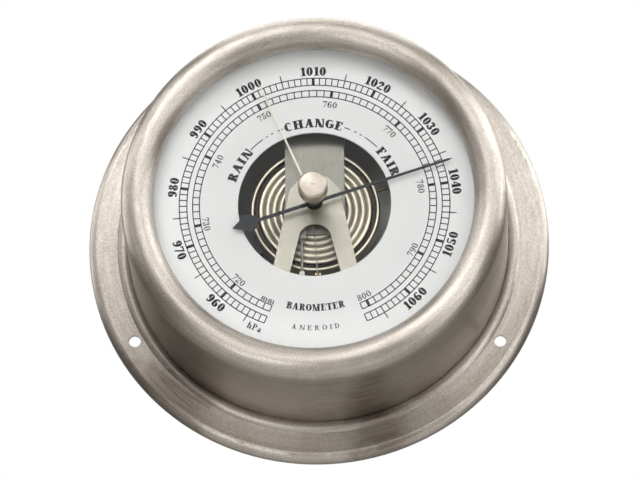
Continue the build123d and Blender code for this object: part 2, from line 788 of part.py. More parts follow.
# ---------------------------------------------------------------- write one file per piece
pieces = [
    case_shell, back_cover, dial_sleeve, dial, glass_spacer_ring, glass, glass_gasket,
    base_plate, base_pillars, cover_screws, base_screws, rim_stop_block,
    capsule_front, capsule_back, capsule_stud, capsule_post, capsule_nut, seal_tube,
    main_spring, spring_clamp, spring_screws, lever_block, lever_rod, rod_tip_block, link_wire,
    rocker_bracket, bracket_screws, rocker_shaft, crank_arm, pull_arm, drive_chain,
    arbor_bridge, bridge_pillars, bridge_screws, pillar_screws, bridge_bush,
    arbor_cock, cock_spacers, cock_screws,
    pointer_arbor, chain_drum, hairspring_collet, hairspring, hairspring_stud,
    pressure_pointer, pointer_collet,
    set_hand, set_shaft, glass_bush, bush_nut, knob_washer, set_knob,
    adjusting_bush, adjusting_screw,
]
for piece in pieces:
    export_step(piece.part, f"parts/{piece.part.label}.step")
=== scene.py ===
"""Looks of the bulkhead aneroid barometer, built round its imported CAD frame.

Metres, in the CAD frame: the dial faces -Y, +Z is 12 o'clock, +X is 3 o'clock, and the
wall plane is y = 0. "Height" is the distance from the wall plane, towards -Y. Angles on the
dial are in degrees, clockwise from 12 o'clock.
"""

from math import cos, degrees, radians, sin

import bmesh
import bpy
from mathutils import Matrix, Vector


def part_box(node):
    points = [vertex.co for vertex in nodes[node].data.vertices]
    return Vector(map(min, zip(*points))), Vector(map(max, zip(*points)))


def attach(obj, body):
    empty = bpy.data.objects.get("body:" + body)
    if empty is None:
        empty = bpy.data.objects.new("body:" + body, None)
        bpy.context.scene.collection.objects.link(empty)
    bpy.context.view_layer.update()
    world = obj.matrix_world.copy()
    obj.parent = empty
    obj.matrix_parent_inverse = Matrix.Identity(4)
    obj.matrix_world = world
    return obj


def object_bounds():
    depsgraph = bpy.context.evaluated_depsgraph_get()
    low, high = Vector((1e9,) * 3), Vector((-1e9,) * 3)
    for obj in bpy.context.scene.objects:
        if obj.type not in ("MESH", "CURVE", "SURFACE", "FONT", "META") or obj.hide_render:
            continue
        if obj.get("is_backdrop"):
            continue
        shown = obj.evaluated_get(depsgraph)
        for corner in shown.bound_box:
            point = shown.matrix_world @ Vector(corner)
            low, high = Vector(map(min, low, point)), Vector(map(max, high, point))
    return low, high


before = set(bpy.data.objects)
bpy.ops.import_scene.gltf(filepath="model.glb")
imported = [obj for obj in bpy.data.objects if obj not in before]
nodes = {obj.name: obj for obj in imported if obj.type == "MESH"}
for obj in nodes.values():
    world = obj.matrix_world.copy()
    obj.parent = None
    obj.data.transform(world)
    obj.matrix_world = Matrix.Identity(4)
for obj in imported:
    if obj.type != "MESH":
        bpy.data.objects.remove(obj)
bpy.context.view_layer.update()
MM = 0.001

# ---------------------------------------------------------------- sizes taken from the frame
dial_face = -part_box("dial")[0].y
capsule_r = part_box("capsule_front")[1].x
capsule_top = -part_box("capsule_front")[0].y
cover_screw_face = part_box("cover_screws")[1].y
ink_thickness = 0.03 * MM


# ---------------------------------------------------------------- mesh helpers
def on_dial(radius, clockwise):
    """(x, z) of a point at a radius and an angle."""
    angle = radians(clockwise)
    return radius * sin(angle), radius * cos(angle)


def make_piece(name, vertices, faces, body, material):
    """A mesh object that rides on a CAD body."""
    mesh = bpy.data.meshes.new(name)
    mesh.from_pydata(vertices, [], faces)
    shape = bmesh.new()
    shape.from_mesh(mesh)
    bmesh.ops.recalc_face_normals(shape, faces=shape.faces)
    shape.to_mesh(mesh)
    shape.free()
    mesh.materials.append(material)
    made = bpy.data.objects.new(name, mesh)
    bpy.context.scene.collection.objects.link(made)
    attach(made, body)


class Print:
    """Flat ink shapes on the dial, gathered into one thin raised piece."""

    def __init__(self):
        self.vertices = []
        self.faces = []

    def ribbon(self, left, right, closed=False):
        """The band between two runs of (x, z) points, as a closed thin solid."""
        first = len(self.vertices)
        for (lx, lz), (rx, rz) in zip(left, right):
            for height in (dial_face, dial_face + ink_thickness):
                self.vertices.append((lx, -height, lz))
                self.vertices.append((rx, -height, rz))
        count = len(left)
        for i in range(count if closed else count - 1):
            a = first + 4 * i
            b = first + 4 * ((i + 1) % count)
            for p, q in ((0, 1), (1, 3), (3, 2), (2, 0)):
                self.faces.append((a + p, a + q, b + q, b + p))
        if not closed:
            last = first + 4 * (count - 1)
            self.faces.append((first, first + 1, first + 3, first + 2))
            self.faces.append((last, last + 1, last + 3, last + 2))

    def arc(self, inner, outer, start, end):
        """Band between two radii from one angle to another."""
        steps = max(2, round((end - start) / 1.5))
        angles = [start + (end - start) * i / steps for i in range(steps + 1)]
        self.ribbon([on_dial(inner, a) for a in angles], [on_dial(outer, a) for a in angles])

    def tick(self, inner, outer, clockwise, width):
        """Radial line of an even width."""
        out = Vector(on_dial(1, clockwise))
        side = Vector((out.y, -out.x)) * width / 2
        ends = (out * inner, out * outer)
        self.ribbon([tuple(e - side) for e in ends], [tuple(e + side) for e in ends])

    def letter(self, shapes, width, height, base, clockwise, flipped, stretch):
        """One letter whose baseline's middle is at a radius and an angle; flipped tops point inward."""
        out = Vector(on_dial(1, clockwise))
        along = Vector((out.y, -out.x))
        up = out
        if flipped:
            up, along = -out, -along

        def place(points):
            """Points in ems, put where they belong on the dial."""
            return [
                tuple(out * base + along * (x - width / 2) * stretch * height + up * y * height)
                for x, y in points
            ]

        for left, right, closed in shapes:
            self.ribbon(place(left), place(right), closed)

    def number(self, text, font, height, base, clockwise, flipped, gap=0.12, stretch=1.0):
        """A number set close, centred on an angle."""
        widths = [font[c][0] * stretch for c in text]
        total = (sum(widths) + gap * (len(text) - 1)) * height
        middle = base - height / 2 if flipped else base + height / 2
        run = -total / 2
        for c, width in zip(text, widths):
            offset = degrees((run + width * height / 2) / middle)
            run += (width + gap) * height
            turn = -offset if flipped else offset
            self.letter(font[c][1], font[c][0], height, base, clockwise + turn, flipped, stretch)

    def word(self, text, font, height, base, first, last, stretch=1.12):
        """A spaced word whose first and last letters are centred on two angles."""
        widths = [font[c][0] * stretch for c in text]
        steps = [(a + b) / 2 for a, b in zip(widths, widths[1:])]
        degrees_per_em = degrees(height / (base + height / 2))
        spare = (last - first - sum(steps) * degrees_per_em) / len(steps)
        angle = first
        for c, step in zip(text, steps + [0]):
            self.letter(font[c][1], font[c][0], height, base, angle, False, stretch)
            angle += step * degrees_per_em + spare

    def finish(self, name):
        """Turns the shapes so far into one piece that rides on the case."""
        make_piece(name, self.vertices, self.faces, "case", materials["ink"])


# ---------------------------------------------------------------- lettering
# A stroke is (one edge, the other edge, whether it closes on itself), in ems.
def bar(x0, x1, y0, y1):
    """Upright or level stroke."""
    return [(x0, y0), (x0, y1)], [(x1, y0), (x1, y1)], False


def slant(x0, y0, x1, y1, width):
    """Leaning stroke, cut off level at both ends."""
    return [(x0, y0), (x1, y1)], [(x0 + width, y0), (x1 + width, y1)], False


def bowl(cx, cy, rx, ry, thick, thin, start=0, end=360):
    """Curved stroke, thick at its sides and thin at its top and bottom."""
    closed = end - start == 360
    steps = max(4, round((end - start) / 15))
    outer, inner = [], []
    for i in range(steps if closed else steps + 1):
        angle = radians(start + (end - start) * i / steps)
        outer.append((cx + rx * cos(angle), cy + ry * sin(angle)))
        inner.append((cx + (rx - thick) * cos(angle), cy + (ry - thin) * sin(angle)))
    return outer, inner, closed


def ball(cx, cy, radius):
    """Round end of a stroke."""
    turns = [radians(a) for a in range(10, 180, 20)]
    upper = [(cx - radius * cos(t), cy + radius * sin(t)) for t in turns]
    lower = [(cx - radius * cos(t), cy - radius * sin(t)) for t in turns]
    return upper, lower, False


def turned(shapes, width):
    """The same shapes turned half round."""
    return [([(width - x, 1 - y) for x, y in a], [(width - x, 1 - y) for x, y in b], c) for a, b, c in shapes]


def moved(shapes, dx):
    """The same shapes further along the line."""
    return [([(x + dx, y) for x, y in a], [(x + dx, y) for x, y in b], c) for a, b, c in shapes]


def make_font(stem, hair):
    """Letters with thick stems and thin hairlines, one em high: {character: (width, strokes)}."""
    left = 0.09
    right = left + stem

    def post(x):
        """Upright stem with a serif at each end."""
        return [
            bar(x, x + stem, 0, 1),
            bar(x - left, x + stem + left, 0, hair),
            bar(x - left, x + stem + left, 1 - hair, 1),
        ]

    def thin_post(x):
        """Upright hairline with a serif at each end."""
        return [
            bar(x, x + 1.3 * hair, 0, 1),
            bar(x - 0.1, x + 0.13, 0, hair),
            bar(x - 0.1, x + 0.13, 1 - hair, 1),
        ]

    six = [
        bowl(0.31, 0.31, 0.31, 0.31, stem, hair),
        bowl(0.40, 0.5, 0.40, 0.5, stem, hair, 75, 200),
        ball(0.48, 0.86, 0.09),
    ]
    arm = bar(0.56, 0.56 + 1.2 * hair, 0.68, 1)
    bow = bowl(right, 0.74, 0.36, 0.26, stem, hair, -90, 90)
    font = {
        "0": (0.64, [bowl(0.32, 0.5, 0.32, 0.5, stem, hair)]),
        "1": (
            0.52,
            [
                bar(0.16, 0.16 + stem, 0, 1),
                bar(0.02, 0.30 + stem, 0, hair),
                slant(0.0, 0.80, 0.16, 0.95, 0.12),
            ],
        ),
        "2": (
            0.62,
            [
                bowl(0.31, 0.71, 0.28, 0.29, stem, hair, -40, 165),
                ball(0.12, 0.72, 0.11),
                slant(0.0, 0.08, 0.33, 0.56, 0.5 * stem),
                bar(0.0, 0.60, 0.0, 0.17),
            ],
        ),
        "3": (
            0.60,
            [
                bowl(0.27, 0.75, 0.27, 0.25, stem, hair, -85, 160),
                bowl(0.26, 0.27, 0.32, 0.27, stem, hair, -160, 85),
                ball(0.11, 0.80, 0.10),
                ball(0.10, 0.22, 0.11),
            ],
        ),
        "4": (
            0.66,
            [
                bar(0.34, 0.34 + stem, 0, 1),
                bar(0.24, 0.44 + stem, 0, hair),
                bar(0.0, 0.66, 0.26, 0.26 + 1.2 * hair),
                slant(0.0, 0.27, 0.36, 1.0, 1.4 * hair),
            ],
        ),
        "5": (
            0.60,
            [
                bar(0.07, 0.54, 0.84, 1),
                bar(0.07, 0.07 + 1.2 * hair, 0.50, 1),
                bowl(0.27, 0.31, 0.32, 0.31, stem, hair, -160, 130),
                ball(0.11, 0.24, 0.11),
            ],
        ),
        "6": (0.63, six),
        "7": (
            0.58,
            [
                bar(0.0, 0.58, 0.84, 1),
                bar(0, 1.2 * hair, 0.68, 1),
                slant(0.13, 0, 0.58 - 0.6 * stem, 0.88, 0.6 * stem),
            ],
        ),
        "8": (
            0.62,
            [
                bowl(0.31, 0.76, 0.26, 0.24, 0.8 * stem, hair),
                bowl(0.31, 0.28, 0.31, 0.28, stem, hair),
            ],
        ),
        "9": (0.63, turned(six, 0.63)),
        "A": (
            0.86,
            [
                slant(0.06, 0, 0.36, 0.98, 1.4 * hair),
                slant(0.50, 0, 0.30, 1.0, stem),
                bar(0.18, 0.60, 0.30, 0.30 + hair),
                bar(0.0, 0.22, 0, hair),
                bar(0.44, 0.86, 0, hair),
            ],
        ),
        "B": (
            0.76,
            post(left) + [bow, bowl(right, 0.26, 0.42, 0.26, stem, hair, -90, 90)],
        ),
        "C": (0.74, [bowl(0.40, 0.5, 0.40, 0.5, stem, hair, 48, 312), bar(0.64, 0.69, 0.64, 0.98)]),
        "D": (0.86, post(left) + [bowl(right, 0.5, 0.48, 0.5, stem, hair, -90, 90)]),
        "E": (
            0.74,
            post(left)
            + [
                bar(right, 0.62, 1 - hair, 1),
                arm,
                bar(right, 0.50, 0.49, 0.49 + hair),
                bar(0.46, 0.50, 0.36, 0.66),
                bar(right, 0.68, 0, hair),
                bar(0.64, 0.69, 0, 0.34),
            ],
        ),
        "F": (
            0.68,
            post(left)
            + [
                bar(right, 0.62, 1 - hair, 1),
                arm,
                bar(right, 0.50, 0.47, 0.47 + hair),
                bar(0.46, 0.50, 0.34, 0.64),
            ],
        ),
        "G": (
            0.82,
            [
                bowl(0.40, 0.5, 0.40, 0.5, stem, hair, 48, 315),
                bar(0.64, 0.69, 0.64, 0.98),
                bar(0.52, 0.52 + stem, 0.08, 0.44),
                bar(0.42, 0.82, 0.42, 0.42 + hair),
            ],
        ),
        "H": (1.0, post(left) + post(0.91 - stem) + [bar(right, 0.91 - stem, 0.49, 0.49 + hair)]),
        "I": (2 * left + stem, post(left)),
        "M": (
            1.08,
            thin_post(0.10)
            + post(0.99 - stem)
            + [slant(0.10, 1, 0.42, 0.0, 0.8 * stem), slant(0.46, 0, 0.80, 1, 1.2 * hair)],
        ),
        "N": (0.90, thin_post(0.10) + thin_post(0.74) + [slant(0.06, 1, 0.80 - stem, 0, stem)]),
        "O": (0.80, [bowl(0.40, 0.5, 0.40, 0.5, stem, hair)]),
        "P": (0.72, post(left) + [bow]),
        "R": (0.84, post(left) + [bow, slant(0.56, 0, 0.34, 0.50, 0.9 * stem), bar(0.60, 0.84, 0, hair)]),
        "T": (
            0.76,
            [
                bar(0.38 - stem / 2, 0.38 + stem / 2, 0, 1),
                bar(0.26 - stem / 2, 0.50 + stem / 2, 0, hair),
                bar(0.0, 0.76, 1 - hair, 1),
                bar(0.0, 1.2 * hair, 0.70, 1),
                bar(0.76 - 1.2 * hair, 0.76, 0.70, 1),
            ],
        ),
    }
    hump = [
        bowl(0.30, 0.40, 0.26, 0.26, stem, hair, 0, 110),
        bar(0.56 - stem, 0.56, 0, 0.40),
        bar(0.48 - stem, 0.64, 0, hair),
    ]
    short_post = [bar(0.06, 0.06 + stem, 0, 0.66), bar(0, 0.12 + stem, 0, hair)]
    font["h"] = (0.66, [bar(0.06, 0.06 + stem, 0, 1), bar(0, 0.12 + stem, 0, hair)] + hump)
    font["m"] = (1.02, short_post + hump + moved(hump, 0.38))
    font["a"] = (
        0.58,
        [
            bar(0.46 - stem, 0.46, 0.06, 0.48),
            bowl(0.26, 0.46, 0.20, 0.20, 0.6 * stem, hair, 0, 160),
            bowl(0.22, 0.19, 0.20, 0.19, stem, hair),
            bar(0.44, 0.58, 0, hair),
        ],
    )
    return font


# ---------------------------------------------------------------- material helpers
class Finish:
    """A node material being built round one Principled surface."""

    def __init__(self, name, colour, metallic, roughness):
        self.material = bpy.data.materials.new(name)
        self.material.use_nodes = True
        self.tree = self.material.node_tree
        self.tree.nodes.clear()
        self.output = self.tree.nodes.new("ShaderNodeOutputMaterial")
        self.surface = self.add(
            "ShaderNodeBsdfPrincipled", Base_Color=(*colour, 1), Metallic=metallic, Roughness=roughness
        )
        self.tree.links.new(self.surface.outputs[0], self.output.inputs[0])
        self.material.diffuse_color = (*colour, 1)

    def plug(self, socket, value):
        """Links a socket, or sets a plain value."""
        if isinstance(value, bpy.types.NodeSocket):
            self.tree.links.new(value, socket)
        else:
            socket.default_value = value

    def add(self, kind, settings=None, **inputs):
        """A new node; underscores in the names of its inputs stand for spaces."""
        node = self.tree.nodes.new(kind)
        for name, value in (settings or {}).items():
            setattr(node, name, value)
        for name, value in inputs.items():
            self.plug(node.inputs[name.replace("_", " ")], value)
        return node

    def maths(self, operation, a, b=0.0, c=0.0):
        """One arithmetic step on up to three values."""
        node = self.add("ShaderNodeMath", {"operation": operation})
        for socket, value in zip(node.inputs, (a, b, c)):
            self.plug(socket, value)
        return node.outputs[0]

    def span(self, value, low, high, to_low=0.0, to_high=1.0):
        """Maps a value from one range to another, clamped."""
        ends = {"From_Min": low, "From_Max": high, "To_Min": to_low, "To_Max": to_high}
        return self.add("ShaderNodeMapRange", Value=value, **ends).outputs[0]

    def near(self, value, centre, reach):
        """One at a value, falling smoothly to nothing at a distance from it."""
        away = self.maths("ABSOLUTE", self.maths("SUBTRACT", value, centre))
        node = self.add("ShaderNodeMapRange", {"interpolation_type": "SMOOTHSTEP"}, Value=away)
        node.inputs["From Max"].default_value = reach
        node.inputs["To Min"].default_value = 1.0
        node.inputs["To Max"].default_value = 0.0
        return node.outputs[0]

    def mix(self, share, first, second):
        """Colour between two colours."""
        node = self.add("ShaderNodeMix", {"data_type": "RGBA"})
        self.plug(node.inputs[0], share)
        for socket, value in ((node.inputs[6], first), (node.inputs[7], second)):
            self.plug(socket, (*value, 1) if isinstance(value, tuple) and len(value) == 3 else value)
        return node.outputs[2]

    def noise(self, vector, scale, detail=3.0, roughness=0.55):
        """Cloudy pattern between nought and one."""
        node = self.add("ShaderNodeTexNoise", Vector=vector, Scale=scale, Detail=detail, Roughness=roughness)
        return node.outputs["Fac"]

    def place(self):
        """Position in the CAD frame, in metres."""
        return self.add("ShaderNodeTexCoord").outputs["Object"]

    def stretched(self, x, y, z):
        """Position scaled by three factors, for grain that runs one way."""
        node = self.add("ShaderNodeMapping", Vector=self.place(), Scale=(x, y, z))
        return node.outputs[0]

    def axes(self):
        """The x, y and z of the position."""
        return self.add("ShaderNodeSeparateXYZ", Vector=self.place()).outputs

    def rings(self, across, around):
        """Coordinates that run round the dial's axis, fine across and long around, with radius and y."""
        x, y, z = self.axes()
        flat = self.add("ShaderNodeCombineXYZ", X=x, Y=0.0, Z=z)
        length = self.add("ShaderNodeVectorMath", {"operation": "LENGTH"}, Vector=flat.outputs[0])
        radius = length.outputs["Value"]
        angle = self.maths("ARCTAN2", x, z)
        made = self.add(
            "ShaderNodeCombineXYZ",
            X=self.maths("MULTIPLY", radius, across),
            Y=self.maths("MULTIPLY", y, across),
            Z=self.maths("MULTIPLY", self.maths("SINE", self.maths("MULTIPLY", angle, 0.5)), around),
        )
        return made.outputs[0], radius, y

    def bump(self, height, depth, strength):
        """Fine relief on the surface."""
        node = self.add("ShaderNodeBump", Height=height, Distance=depth, Strength=strength)
        self.plug(self.surface.inputs["Normal"], node.outputs[0])

    def set(self, **inputs):
        """Sets or links inputs of the surface."""
        for name, value in inputs.items():
            self.plug(self.surface.inputs[name.replace("_", " ")], value)


def case_steel():
    """Stainless steel brushed round the axis: short scratches, cloudy tone, two brown bands of painted
    reflection and painted shade on the lower wall.
    """
    f = Finish("case_steel", (0.45, 0.42, 0.38), 1.0, 0.34)
    fine, radius, y = f.rings(3000, 70)
    short = f.noise(fine, 1.0, 3, 0.65)
    broad, _, _ = f.rings(1100, 16)
    strokes = f.noise(broad, 1.0, 4, 0.6)
    clouds = f.noise(f.place(), 70, 5, 0.65)
    tone = f.mix(f.span(strokes, 0.3, 0.7), (0.395, 0.358, 0.318), (0.52, 0.485, 0.445))
    tone = f.mix(f.span(short, 0.56, 0.78, 0, 0.55), tone, (0.27, 0.235, 0.20))
    tone = f.mix(f.span(short, 0.40, 0.22, 0, 0.5), tone, (0.66, 0.64, 0.61))
    tone = f.mix(f.span(clouds, 0.5, 0.8, 0, 0.55), tone, (0.33, 0.285, 0.24))
    speckle = f.noise(f.place(), 2200, 3, 0.7)
    tone = f.mix(f.span(speckle, 0.5, 0.75, 0, 0.5), tone, (0.22, 0.19, 0.16))
    tone = f.mix(f.span(speckle, 0.48, 0.3, 0, 0.4), tone, (0.70, 0.67, 0.63))
    # two brown bands of painted reflection low on the wall and the flange, placed by their sideways share of
    # the radius
    x, _, z = f.axes()
    sideways = f.maths("DIVIDE", x, f.maths("MAXIMUM", radius, 10 * MM))
    lower = f.span(z, -20 * MM, -32 * MM)
    wavering = f.maths("MULTIPLY_ADD", clouds, 0.5, f.maths("SUBTRACT", sideways, 0.25))
    right_reflection_band = f.near(wavering, 0.26, 0.22)
    left_reflection_band = f.near(wavering, -0.68, 0.26)
    reflection_bands = f.maths("MAXIMUM", right_reflection_band, left_reflection_band)
    behind_nose = f.span(y, -38 * MM, -34 * MM)
    amount = f.maths("MULTIPLY", f.maths("MULTIPLY", reflection_bands, lower), behind_nose)
    patchy = f.maths("MULTIPLY", amount, f.span(strokes, 0.25, 0.65, 0.1, 0.85))
    tone = f.mix(patchy, tone, (0.13, 0.10, 0.08))
    # painted shade: the lower wall is darkened all over
    on_wall = f.maths("MULTIPLY", behind_nose, f.span(y, -4 * MM, -7 * MM))
    tone = f.mix(f.maths("MULTIPLY", f.maths("MULTIPLY", on_wall, lower), 0.35), tone, (0.16, 0.125, 0.10))
    f.set(Base_Color=tone, Roughness=f.span(short, 0.25, 0.75, 0.29, 0.44))
    tangent = f.add("ShaderNodeTangent", {"direction_type": "RADIAL", "axis": "Y"}).outputs[0]
    f.set(Anisotropic=0.65, Anisotropic_Rotation=0.25, Tangent=tangent)
    f.bump(short, 0.02 * MM, 0.6)
    return f.material


def turned_metal(name, colour, roughness):
    """Lathe-turned metal with fine rings about the dial's axis."""
    f = Finish(name, colour, 1.0, roughness)
    fine, _, _ = f.rings(7000, 2)
    rings = f.noise(fine, 1.0, 3, 0.6)
    clouds = f.noise(f.place(), 240, 3)
    dull = tuple(0.72 * c for c in colour)
    f.set(Base_Color=f.mix(f.span(clouds, 0.35, 0.75, 0, 0.7), colour, dull))
    f.set(Roughness=f.span(rings, 0.3, 0.7, 0.8 * roughness, 1.25 * roughness))
    f.bump(rings, 0.008 * MM, 0.6)
    return f.material


def drawn_metal(name, colour, roughness, along, contrast=0.25):
    """Rolled or drawn metal, with its grain along one axis."""
    f = Finish(name, colour, 1.0, roughness)
    across_grain, with_grain = 4500, 600
    factors = [with_grain if axis == along else across_grain for axis in "xyz"]
    grain = f.noise(f.stretched(*factors), 1.0, 3, 0.6)
    clouds = f.noise(f.place(), 170, 4, 0.6)
    dull = tuple((1 - contrast) * c for c in colour)
    tone = f.mix(f.span(clouds, 0.35, 0.7), colour, dull)
    darkest = tuple(0.7 * c for c in dull)
    tone = f.mix(f.span(grain, 0.35, 0.75, 0, 0.6), tone, darkest)
    f.set(Base_Color=tone, Roughness=f.span(grain, 0.3, 0.7, 0.85 * roughness, 1.2 * roughness))
    f.bump(grain, 0.006 * MM, 0.5)
    return f.material


def slotted_metal():
    """Plated heads of the cover screws, darker down in their slots."""
    f = Finish("slotted_metal", (0.60, 0.57, 0.52), 1.0, 0.3)
    _, y, _ = f.axes()
    scuffs = f.noise(f.stretched(900, 4500, 4500), 1.0, 3, 0.6)
    tone = f.mix(f.span(scuffs, 0.35, 0.7), (0.64, 0.61, 0.56), (0.42, 0.39, 0.35))
    in_slot = f.span(y, cover_screw_face - 0.02 * MM, cover_screw_face - 0.12 * MM)
    tone = f.mix(in_slot, tone, (0.03, 0.028, 0.025))
    f.set(Base_Color=tone, Roughness=f.span(scuffs, 0.3, 0.7, 0.25, 0.42))
    f.bump(scuffs, 0.01 * MM, 0.5)
    return f.material


def zinc_plate():
    """Dull zinc-plated steel, greenish, with cloudy patches and a rolled grain."""
    f = Finish("zinc_plate", (0.70, 0.73, 0.64), 0.2, 0.5)
    clouds = f.noise(f.place(), 260, 5, 0.7)
    flecks = f.noise(f.stretched(3000, 3000, 500), 1.0, 3, 0.6)
    tone = f.mix(f.span(clouds, 0.3, 0.7), (0.80, 0.82, 0.75), (0.56, 0.58, 0.51))
    tone = f.mix(f.span(flecks, 0.55, 0.8, 0, 0.5), tone, (0.40, 0.42, 0.36))
    # painted shade: the plate darkens upwards behind the spring's foot and stays lighter low down
    x, _, z = f.axes()
    down = f.maths("MULTIPLY_ADD", x, 0.8, f.maths("MULTIPLY", z, -1.0))
    tone = f.mix(f.span(down, 10 * MM, -6 * MM), tone, (0.10, 0.105, 0.085))
    f.set(Base_Color=tone, Roughness=f.span(flecks, 0.3, 0.7, 0.42, 0.58))
    f.bump(flecks, 0.015 * MM, 0.5)
    return f.material


def capsule_metal():
    """Pressed nickel silver with bright ridge tops; painted shade turns the grooves and the moat near black.
    """
    f = Finish("capsule_metal", (0.80, 0.74, 0.60), 1.0, 0.3)
    fine, radius, y = f.rings(6000, 3)
    rings = f.noise(fine, 1.0, 3)
    height = f.maths("MULTIPLY", y, -1.0)
    moat_inner, moat_outer = capsule_r - 2.2 * MM, capsule_r - MM
    blend = 0.3 * MM
    moat_start = f.span(radius, moat_inner - blend, moat_inner)
    moat_end = f.span(radius, moat_outer + blend, moat_outer)
    moat = f.maths("MULTIPLY", moat_start, moat_end)
    # painted shade: below the ridge tops and in the moat the metal goes near black
    ridge_tops = f.span(height, capsule_top - 0.9 * MM, capsule_top - 0.4 * MM)
    ridge_tops = f.maths("MULTIPLY", ridge_tops, f.maths("SUBTRACT", 1.0, moat))
    clouds = f.noise(f.place(), 420, 4, 0.6)
    bright = f.mix(f.span(clouds, 0.35, 0.7), (0.80, 0.75, 0.62), (0.66, 0.60, 0.47))
    tone = f.mix(ridge_tops, (0.03, 0.021, 0.013), bright)
    side_wall = f.span(radius, capsule_r - 0.5 * MM, capsule_r - 0.3 * MM)
    f.set(Base_Color=f.mix(side_wall, tone, f.mix(clouds, (0.56, 0.48, 0.35), (0.40, 0.33, 0.23))))
    f.set(Roughness=f.span(rings, 0.3, 0.7, 0.3, 0.45))
    f.bump(rings, 0.006 * MM, 0.5)
    return f.material


def satin_paint(name, colour, roughness, peel_scale=2600, peel=0.01, wear=None, shine=0.5):
    """Sprayed paint with a slight orange peel; worn edges show the metal below."""
    f = Finish(name, colour, 0.0, roughness)
    f.set(Specular_IOR_Level=shine)
    clouds = f.noise(f.place(), 300, 3)
    lighter = tuple(min(1, 1.35 * c + 0.004) for c in colour)
    tone = f.mix(f.span(clouds, 0.35, 0.75), colour, lighter)
    if wear:
        rounded = f.add("ShaderNodeBevel", {"samples": 4}, Radius=0.09 * MM).outputs[0]
        flat = f.add("ShaderNodeNewGeometry").outputs["Normal"]
        likeness = f.add("ShaderNodeVectorMath", {"operation": "DOT_PRODUCT"})
        f.plug(likeness.inputs[0], rounded)
        f.plug(likeness.inputs[1], flat)
        edge = f.span(likeness.outputs["Value"], 0.75, 0.99, 1, 0)
        chips = f.maths("MULTIPLY", edge, f.span(f.noise(f.place(), 1500, 3), 0.5, 0.62))
        tone = f.mix(chips, tone, wear)
    f.set(Base_Color=tone, Roughness=f.span(clouds, 0.3, 0.7, 0.9 * roughness, 1.1 * roughness))
    f.bump(f.noise(f.place(), peel_scale, 2), peel * MM, 0.3)
    return f.material


def dial_paint():
    """White lacquer with a barely visible tooth, made whiter at the rim, where the bezel shades it."""
    f = Finish("dial_paint", (0.76, 0.765, 0.77), 0.0, 0.42)
    specks = f.noise(f.place(), 5000, 2)
    _, radius, _ = f.rings(1, 1)
    wavering = f.maths("MULTIPLY_ADD", f.noise(f.place(), 60, 3), 4 * MM, radius)
    tone = f.mix(f.span(wavering, 30 * MM, 46 * MM), (0.725, 0.728, 0.732), (0.955, 0.957, 0.96))
    tone = f.mix(f.span(specks, 0.68, 0.8, 0, 0.12), tone, (0.6, 0.6, 0.6))
    f.set(Base_Color=tone)
    f.bump(specks, 0.004 * MM, 0.3)
    return f.material


def printing_ink():
    """Printed black, a little uneven in gloss; duller than real ink, so that it stays black when lit."""
    f = Finish("printing_ink", (0.008, 0.008, 0.009), 0.0, 0.4)
    grain = f.noise(f.place(), 4000, 3)
    f.set(Base_Color=f.mix(f.span(grain, 0.4, 0.8), (0.006, 0.006, 0.007), (0.02, 0.02, 0.021)))
    f.set(Roughness=f.span(grain, 0.3, 0.7, 0.32, 0.55), Specular_IOR_Level=0.12)
    return f.material


def clear_glass():
    """Flat glass whose reflection grows towards grazing angles, at a share of real glass's."""
    f = Finish("clear_glass", (1, 1, 1), 0.0, 0.0)
    clear = f.add("ShaderNodeBsdfTransparent", Color=(0.985, 0.99, 0.988, 1))
    shine = f.add("ShaderNodeBsdfGlossy", Roughness=0.02, Color=(1, 1, 1, 1))
    dust = f.noise(f.place(), 900, 5, 0.7)
    smear = f.span(dust, 0.62, 0.9, 0.012, 0.06)
    f.plug(shine.inputs["Roughness"], smear)
    share_of_real = 0.25
    fresnel = f.add("ShaderNodeFresnel", IOR=1.45).outputs[0]
    both = f.add("ShaderNodeMixShader")
    f.plug(both.inputs[0], f.maths("MULTIPLY", fresnel, share_of_real))
    f.plug(both.inputs[1], clear.outputs[0])
    f.plug(both.inputs[2], shine.outputs[0])
    f.tree.nodes.remove(f.surface)
    f.plug(f.output.inputs[0], both.outputs[0])
    return f.material


def moulded_plastic(name, colour, roughness):
    """Plain plastic or rubber with a fine tooth."""
    f = Finish(name, colour, 0.0, roughness)
    tooth = f.noise(f.place(), 3500, 3)
    patches = f.noise(f.place(), 200, 2)
    darker = tuple(0.75 * c for c in colour)
    f.set(Base_Color=f.mix(f.span(patches, 0.3, 0.7), colour, darker))
    f.set(Roughness=f.span(tooth, 0.3, 0.7, 0.85 * roughness, 1.15 * roughness))
    f.bump(tooth, 0.02 * MM, 0.4)
    return f.material


